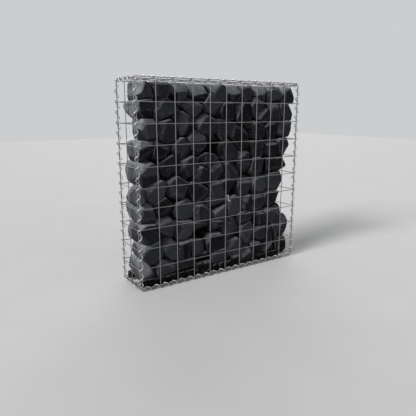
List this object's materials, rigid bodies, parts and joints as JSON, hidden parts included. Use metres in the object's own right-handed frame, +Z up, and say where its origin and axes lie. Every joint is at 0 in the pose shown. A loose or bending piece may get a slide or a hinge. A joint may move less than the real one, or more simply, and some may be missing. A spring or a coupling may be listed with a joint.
{
  "type": "gabion wall",
  "caption": "Free-standing gabion wall: a slim welded wire basket laced with wire spirals along its edges and packed by hand with dark angular stone.",
  "frame": {"origin": "bottom centre of the wall, level with the undersides of the long bottom spirals", "axes": "+X along the wall to the right seen from the front, -Y out of the front face, +Z up"},
  "size_m": [1.0338, 0.2338, 1.0338],
  "materials": {
    "mesh_wire": "galvanised, dull grey",
    "spiral_wire": "galvanised, dull grey",
    "tie_wire": "galvanised, bright",
    "stone": "matt, split faces"
  },
  "bodies": {
    "root": {"front_panel": "mesh_wire", "back_panel": "mesh_wire", "left_end_panel": "mesh_wire", "right_end_panel": "mesh_wire", "base_panel": "mesh_wire", "lid_panel": "mesh_wire", "front_bottom_spiral": "spiral_wire", "back_bottom_spiral": "spiral_wire", "left_bottom_spiral": "spiral_wire", "right_bottom_spiral": "spiral_wire", "front_top_spiral": "spiral_wire", "back_top_spiral": "spiral_wire", "left_top_spiral": "spiral_wire", "right_top_spiral": "spiral_wire", "front_left_spiral": "spiral_wire", "front_right_spiral": "spiral_wire", "back_left_spiral": "spiral_wire", "back_right_spiral": "spiral_wire", "tie_wire": "tie_wire", "stone_course_01": "stone", "stone_course_02": "stone", "stone_course_03": "stone", "stone_course_04": "stone", "stone_course_05": "stone", "stone_course_06": "stone", "stone_course_07": "stone", "stone_course_08": "stone", "stone_course_09": "stone", "stone_course_10": "stone"}
  },
  "joints": []
}
